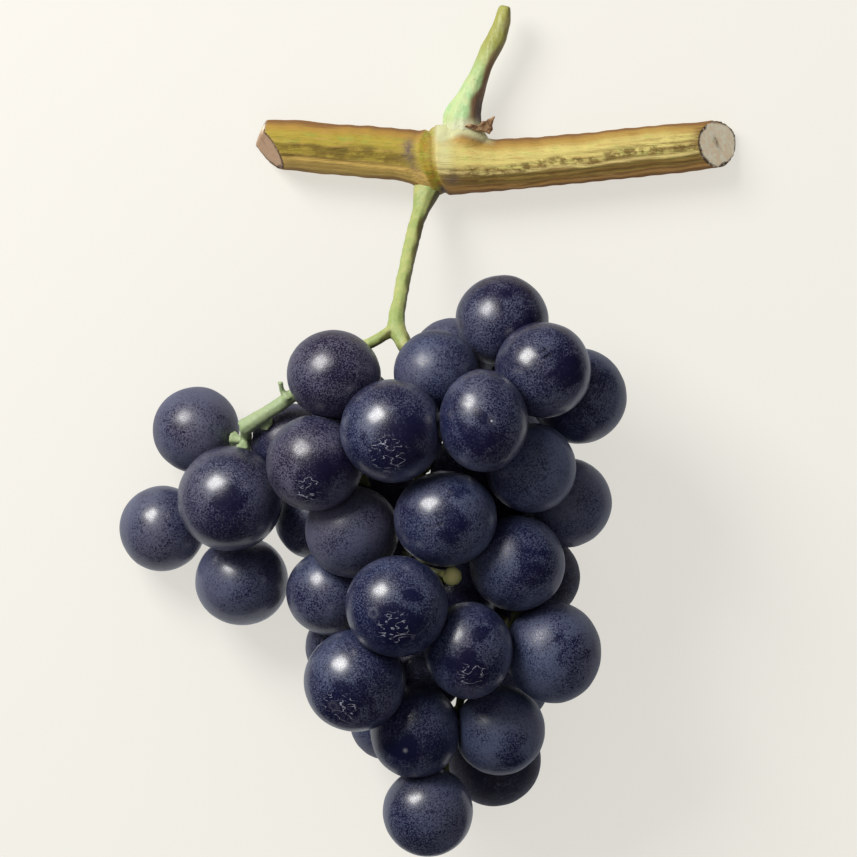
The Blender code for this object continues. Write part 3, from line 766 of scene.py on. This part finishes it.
def berry_shape(number, directions, centre, radius, others, stem_tree):
    """Shapes one berry: nearly round, dimpled at its stalk, flattened by what it touches."""
    stalk, _, _, _ = stem_tree.find_nearest(Vector(centre))
    toward = np.array(stalk) - centre
    pole = directions @ (toward / np.linalg.norm(toward))
    swell = 1.0 + SLOW_SWELL * waves(directions * 1.1, number)
    swell += FINE_SWELL * waves(directions * 5.0, number + 100)
    swell -= STALK_DIMPLE * np.exp(-(1 - pole) / STALK_DIMPLE_WIDTH)
    swell -= END_DIMPLE * np.exp(-(1 + pole) / END_DIMPLE_WIDTH)
    stretch = np.array([*STRETCH.get(number, (1.0, 1.0)), 1.0])
    shape = directions * swell[:, None] * radius * stretch
    shape += directions * (berry_relief(number, directions) * MM)[:, None]
    places = centre + shape
    for other, width in others:
        apart = other - centre
        distance = np.linalg.norm(apart)
        if distance < (radius + width) * STRETCH_ROOM + GAP:
            reach = (distance**2 + radius**2 - width**2) / (2 * distance) - STOP_SHORT
            places = press(places, centre, apart / distance, reach)
    places = press(places, centre, DOWN, centre[2])
    return clear_of_stem(places, centre, stem_tree)


def berry_marks(number, directions):
    """Returns how purple, bloomed, rubbed, wrinkled and scarred each point of a berry is, where its creases
    get painted shade and where it has a painted glint; low bloom on berries deep in the bunch is painted
    shade.
    """
    draw = random.Random(number)
    tone = TONE.get(number, draw.uniform(0.15, 0.6))
    bloom = BLOOM_AND_SHADE.get(number, draw.uniform(0.45, 0.75))
    dull = DULL.get(number, 1.0 if number > LAST_CLEAR else 0.0)
    none = np.zeros(len(directions))
    marks = {name: none for name in ("rubbed", "wrinkle", "crease", "scar", "painted_glint")}
    marks["tone"] = np.clip(tone + 0.12 * waves(directions * 1.3, number + 7), 0, 1)
    marks["bloom"] = np.clip(bloom + 0.16 * waves(directions * 1.6, number + 11), -0.2, 1.2)
    marks["gloss"] = none + GLOSS.get(number, COMMON_GLOSS)
    marks["dull"] = none + dull
    for right, up, size in RUBBED.get(number, []):
        apart = distance_from(directions, right, up) + 0.10 * waves(directions * 4.0, number + 13)
        marks["rubbed"] = np.maximum(marks["rubbed"], 1 - soft_step(apart, size * 0.45, size * 1.15))
    for start, end, _ in CREASES.get(number, []):
        marks["crease"] = np.maximum(marks["crease"], crease_field(directions, start, end))
    if number in WRINKLED:
        right, up, size = WRINKLED[number]
        marks["wrinkle"] = 1 - soft_step(distance_from(directions, right, up), size * 0.6, size * 1.1)
    if number in SCARS:
        right, up, clear = SCARS[number]
        apart = distance_from(directions, right, up)
        marks["scar"] = bulge(apart, SCAR_PALE_RADIUS, SCAR_PALE_RING) * clear
    if number in PAINTED_GLINTS:
        right, up, size = PAINTED_GLINTS[number]
        marks["painted_glint"] = bulge(distance_from(directions, right, up), 0.0, size)
    return marks


def make_berries(names, stem_tree, skin):
    """Makes the fine berries that stand for the frame's faceted ones."""
    balls = {name: fit_ball(corners_of(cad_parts[name].data)) for name in names}
    sizes = {name: (centre, radius / FACET_SWELL) for name, (centre, radius) in balls.items()}
    coarse, fine = ball_mesh(COARSE_LEVEL), ball_mesh(FINE_LEVEL)
    for name in names:
        number = int(name[-2:])
        centre, radius = sizes[name]
        detailed = number in WRINKLED or number in CREASES or number in SCARS
        mesh = (fine if detailed else coarse).copy()
        mesh.name = name + "_skin"
        directions = corners_of(mesh)
        directions /= np.linalg.norm(directions, axis=1)[:, None]
        others = [sizes[other] for other in names if other != name]
        set_corners(mesh, berry_shape(number, directions, centre, radius, others, stem_tree))
        dress(name, mesh, skin, berry_marks(number, directions))


def stem_marks(places, normals):
    """Returns where the stem has painted shade (brown on its right side and under the wing, dark deep between
    the berries), where it is mint green, and where it is broken off, whose end gets painted light.
    """
    x, y, z = (places / MM).T
    outside = soft_step(y, 15.5, 17.5)
    wing = 1 - soft_step(x, -30.0, -20.0)
    # painted shade on the side away from the key, weaker toward the top
    shade = soft_step(normals[:, 0] * 0.8 - normals[:, 1] * 0.25 + 0.12 * waves(places * 300, 5), 0.15, 0.50)
    shade *= 0.75 + 0.25 * soft_step(y, 32.0, 40.0)
    # painted shade under the wing
    wing_shade = soft_step(-normals[:, 1] * 0.8 + normals[:, 0] * 0.2, 0.20, 0.65)
    end = bulge(x, BROKEN_X, BROKEN_WIDTH) * bulge(y, BROKEN_Y, BROKEN_WIDTH) * soft_step(z, *BROKEN_HEIGHT)
    return {
        "brown": np.clip(shade * outside * (1 - wing) + wing_shade * wing, 0, 1),
        "mint": wing,
        "broken": end,
        # painted shade deep between the berries, except at the bare end
        "deep": np.clip((1 - outside) * soft_step(x, -24.0, -20.0) - end, 0, 1) * 0.9,
    }


def make_stem(skin):
    """Makes the green bunch stem with a slightly uneven skin, its top drawn into the cane."""
    mesh = remeshed(node_mesh("bunch_stem"), STEM_VOXEL, 4)
    places, normals = corners_of(mesh), normals_of(mesh)
    swell = 0.03 * waves(places * 900, 3) + 0.03 * waves(places * np.array([700, 250, 700]), 4)
    places += normals * (swell * MM)[:, None]
    top = soft_step(places[:, 1] / MM, *STEM_TOP_Y)
    places[:, 1] += STEM_TOP_REACH * top
    places[:, 0] += STEM_TOP_WIDEN * top * (places[:, 0] - STEM_TOP_X)
    set_corners(mesh, places)
    dress("bunch_stem", mesh, skin, stem_marks(places, normals))


class CaneMap:
    """Where each point of the cane lies, in millimetres: along it, across it and past which ring."""

    def __init__(self, places, normals):
        line = np.array(CANE_LINE)
        self.places = places
        self.x = places[:, 0] / MM
        self.y = places[:, 1] / MM
        self.across_y = self.y - np.interp(self.x, line[:, 0], line[:, 1])
        self.across_z = places[:, 2] / MM - CANE_HEIGHT
        self.front = self.across_y / np.interp(self.x, line[:, 0], line[:, 2])
        self.endward = np.abs(normals[:, 0])
        self.wall = 1 - soft_step(self.endward, 0.40, 0.60)
        upper, lower = np.clip((self.front - 0.3) / 0.7, 0, 1), np.clip((0.3 - self.front) / 1.3, 0, 1)
        self.collar = COLLAR_X + 1.2 * upper**2 + 3.8 * lower**2
        self.sleeve = SLEEVE_X + 2.6 * np.clip((0.2 - self.front) / 1.2, 0, 1) ** 2
        self.right = soft_step(self.x, self.sleeve - 0.3, self.sleeve + 0.3)
        self.wobble = 0.06 * waves(places * 160, 14)


def cane_relief(at):
    """Returns how far ridges, the collar's ring and the sleeve stand out, in millimetres."""
    around = np.arctan2(at.across_z, at.across_y)
    ridges = 0.5 * np.sin(around * 17 + 0.6 * waves(at.places * 60, 8)) + 0.5 * np.sin(around * 29 + 1.1)
    ridges += 0.5 * waves(at.places * np.array([25, 500, 500]), 9)
    height = RIDGE_HEIGHT * ridges * (1 - 0.6 * bulge(at.x, NODE_X, 8.0)) + 0.05 * waves(at.places * 300, 10)
    height += COLLAR_HEIGHT * bulge(at.x, at.collar, 0.7)
    height -= SLEEVE_GROOVE * bulge(at.x, at.sleeve - 0.6, 0.5)
    sleeve = soft_step(at.x, at.sleeve - 0.4, at.sleeve + 0.5) * (1 - soft_step(at.x, 6.0, 16.0))
    return height + SLEEVE_HEIGHT * sleeve


def bark_marks(at):
    """Returns the bark's bands, its dark middle band and its grooves with the torn bark."""
    band_middle = np.where(at.right > 0.5, np.interp(at.x, BAND_X, BAND_MIDDLE), -0.18)
    band_half = np.where(at.right > 0.5, np.interp(at.x, BAND_X, BAND_HALF), 0.26)
    band = 1 - soft_step(np.abs(at.front + at.wobble - band_middle), band_half * 0.6, band_half * 1.3)
    torn = bulge(at.x, TORN_X, 1.3) * soft_step(at.front, -0.1, 0.3) * (1 - soft_step(at.front, 0.80, 0.95))
    lines = np.sin((at.front + 0.5 * at.wobble) * 31 + 0.5) * 0.5 + 0.5
    low_half = 1 - soft_step(at.front, -0.25, 0.0)
    far_right = soft_step(at.x, 26.0, 48.0) * (1 - soft_step(at.front, 0.3, 0.6))
    return {
        "front": at.front + 0.4 * at.wobble,
        "right": at.right,
        "band": band * (1 - bulge(at.x, 0.5, 4.0)),
        "grooves": np.clip(lines * np.maximum(low_half, far_right) * at.right + torn, 0, 1),
    }


def node_marks(at):
    """Returns where the cane has the node's colour, its pale patches and its purple smudges."""
    pale = 0.55 * bulge(at.x, at.sleeve + 1.6, 2.0) * soft_step(at.front, -0.5, 0.2)
    top_patch = soft_step(at.y + 0.3 * np.abs(at.x - STALK_FOOT_X), 58.4, 60.2)
    top_patch *= soft_step(at.x, 0.5, 3.0) * (1 - soft_step(at.x, 11.5, 14.0))
    purple = bulge(at.x, at.collar - 2.2, 1.2) * bulge(at.front + 0.1 * waves(at.places * 350, 12), 0.05, 0.5)
    purple += 0.8 * bulge(at.x, 5.0, 1.6) * bulge(at.front, -0.52, 0.16)
    purple *= 0.85 + 0.15 * waves(at.places * 500, 15)
    low_spot = bulge(at.x, NODE_X, 0.9) * bulge(at.front, -0.92, 0.14)
    return {
        "node": soft_step(at.x, at.collar - 0.4, at.collar + 0.4) * (1 - at.right),
        "pale": np.clip(pale + 0.9 * top_patch, 0, 1),
        "purple": np.clip(purple + low_spot, 0, 1) * at.wall,
    }


def wood_marks(at):
    """Returns where the cane is cut, and where the cut has its pith, its stain and its rim."""
    at_end = soft_step(np.abs(at.x - CANE_MIDDLE_X), 38.5, 41.0)
    face_y = at.across_y + 0.6
    streak = bulge(at.across_z - 0.4 * face_y, 0.0, 0.5) * bulge(face_y, 0.8, 1.6)
    across = np.hypot(at.across_y, at.across_z) + 0.12 * waves(at.places * 700, 16)
    return {
        "wood": soft_step(at.endward, 0.45, 0.62) * at_end,
        "pith": np.clip(streak * 1.2, 0, 1),
        "stain": 0.85 * (at.x < 0) * (1 - soft_step(at.front, 0.3, 0.8)),
        "rim": soft_step(across, 4.45, 4.85),
    }


def make_cane(skin):
    """Makes the cane: ridges and grooves along it, a ringed node, and rough cut ends."""
    mesh = remeshed(node_mesh("cane"), CANE_VOXEL * MM, 3)
    places, normals = corners_of(mesh), normals_of(mesh)
    at = CaneMap(places, normals)
    moved = places + normals * (cane_relief(at) * at.wall * MM)[:, None]
    top_trim = np.interp(at.x, TOP_TRIM_X, TOP_TRIM)
    low_trim = LOW_TRIM * bulge(at.x, LOW_TRIM_X, LOW_TRIM_WIDTH)
    moved[:, 1] -= top_trim * soft_step(at.front, 0.0, 1.0) * MM
    moved[:, 1] += low_trim * soft_step(-at.front, 0.0, 1.0) * MM
    moved[:, 2] = np.maximum(moved[:, 2], 0.0)
    set_corners(mesh, moved)
    dress("cane", mesh, skin, {**bark_marks(at), **node_marks(at), **wood_marks(at)})


def stalk_marks(places):
    """Returns where the leaf stalk is brown, dark, yellower or pale."""
    line = np.array(STALK_LINE)
    x, y, _ = (places / MM).T
    middle = np.interp(y, line[:, 0], line[:, 1])
    thick = np.interp(y, line[:, 0], line[:, 2])
    side = (x - middle) / thick + 0.15 * waves(places * 350, 23)
    foot = 1 - soft_step(y + 0.25 * np.abs(x - STALK_FOOT_X), 61.6, 63.4)
    return {
        "brown": soft_step(side, 0.10, 0.55) * (1 - 0.45 * soft_step(y, 72.0, 80.0)),
        "dark": 0.9 * bulge(x, 10.6, 1.1) * bulge(y, 64.0, 2.2),
        "upper": soft_step(y, 67.0, 80.0),
        "pale": 0.8 * foot * (x < 10.5),
    }


def make_leaf_stalk(skin):
    """Makes the stump of the leaf stalk with soft ridges, its foot drawn into the cane."""
    mesh = remeshed(node_mesh("leaf_stalk"), STALK_VOXEL, 4)
    places, normals = corners_of(mesh), normals_of(mesh)
    ridges = 0.10 * waves(places * np.array([900, 60, 900]), 21) + 0.04 * waves(places * 700, 22)
    places += normals * (ridges * MM)[:, None]
    places[:, 1] -= STALK_FOOT_REACH * (1 - soft_step(places[:, 1] / MM, *STALK_FOOT_Y))
    set_corners(mesh, places)
    dress("leaf_stalk", mesh, skin, stalk_marks(places))


def make_bud_scale(skin):
    """Makes the small brown scale: a flap that bends over the stalk's foot and ends in a point."""
    work = bmesh.new()
    tops = [work.verts.new((x * MM, y * MM, height * MM)) for x, y, height in SCALE_OUTLINE]
    bottoms = [work.verts.new(corner.co - Vector((0.0, 0.0, SCALE_THICK * MM))) for corner in tops]
    work.faces.new(tops)
    work.faces.new(list(reversed(bottoms)))
    for index, corner in enumerate(tops):
        after = (index + 1) % len(tops)
        work.faces.new((bottoms[index], bottoms[after], tops[after], corner))
    bmesh.ops.recalc_face_normals(work, faces=work.faces)
    mesh = remeshed(mesh_of(work, "bud_scale_flap"), SCALE_VOXEL, 3)
    places, normals = corners_of(mesh), normals_of(mesh)
    set_corners(mesh, places + normals * (0.12 * waves(places * 1500, 31) * MM)[:, None])
    dress("bud_scale", mesh, skin, {})


def flat_disc(name, radius, skin):
    """Adds a flat round disc at the origin."""
    work = bmesh.new()
    bmesh.ops.create_circle(work, cap_ends=True, segments=DISC_SEGMENTS, radius=radius)
    mesh = mesh_of(work, name)
    mesh.materials.append(skin)
    disc = bpy.data.objects.new(name, mesh)
    link(disc)
    return disc


def make_floor(skin):
    """Lays the pale floor, which gloss doesn't see."""
    floor = flat_disc("floor", FLOOR_RADIUS, skin)
    floor.visible_glossy = False


def make_disc(skin):
    """Lays a glowing disc that only gloss sees, for the pale rims of the berries."""
    disc = flat_disc("gloss_disc", DISC_RADIUS, skin)
    disc.location = (0.0, 0.0, -MM)
    disc.visible_camera = False
    disc.visible_diffuse = False
    disc.visible_shadow = False
    disc.visible_transmission = False


def make_camera():
    """Sets a long lens straight above the bunch, framed as the photograph is."""
    lens = bpy.data.cameras.new("camera")
    lens.lens = LENS
    lens.sensor_width = SENSOR
    lens.clip_end = CLIP_END
    camera = bpy.data.objects.new("camera", lens)
    link(camera)
    distance = PHOTO_PIXELS * PIXEL * LENS / SENSOR
    x = (PHOTO_CENTRE[0] - ORIGIN_PIXEL[0]) * PIXEL
    y = (ORIGIN_PIXEL[1] - PHOTO_CENTRE[1]) * PIXEL
    camera.location = (x, y, FOCUS_HEIGHT + distance)
    bpy.context.scene.camera = camera


def make_key():
    """Sets a soft square light at the upper left, which isn't seen itself."""
    data = bpy.data.lights.new("key", "AREA")
    data.size = KEY_SIZE
    data.energy = KEY_POWER
    data.color = KEY_COLOUR
    lamp = bpy.data.objects.new("key", data)
    link(lamp)
    away = Vector(KEY_DIRECTION).normalized()
    lamp.location = Vector(KEY_AIM) + away * KEY_DISTANCE
    lamp.rotation_euler = away.to_track_quat("Z", "Y").to_euler()
    lamp.visible_camera = False


def make_surround():
    """Sets a pale surround that isn't mirrored."""
    world = bpy.data.worlds.new("surround")
    world.use_nodes = True
    backdrop = world.node_tree.nodes["Background"]
    backdrop.inputs["Color"].default_value = WORLD_COLOUR
    backdrop.inputs["Strength"].default_value = WORLD_STRENGTH
    world.cycles_visibility.glossy = False
    bpy.context.scene.world = world
    bpy.context.scene.view_settings.view_transform = "Standard"


def stem_lookup():
    """Makes a search tree of the frame's stem, to keep the berries clear of it."""
    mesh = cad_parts["bunch_stem"].data
    corners = [vertex.co.copy() for vertex in mesh.vertices]
    return BVHTree.FromPolygons(corners, [tuple(face.vertices) for face in mesh.polygons])


make_camera()
berry_names = sorted(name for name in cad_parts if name.startswith("berry_"))
make_berries(berry_names, stem_lookup(), berry_skin())
make_stem(stem_skin())
make_cane(bark_skin())
make_leaf_stalk(stalk_skin())
make_bud_scale(scale_skin())
make_floor(floor_skin())
make_disc(disc_skin())
make_key()
make_surround()
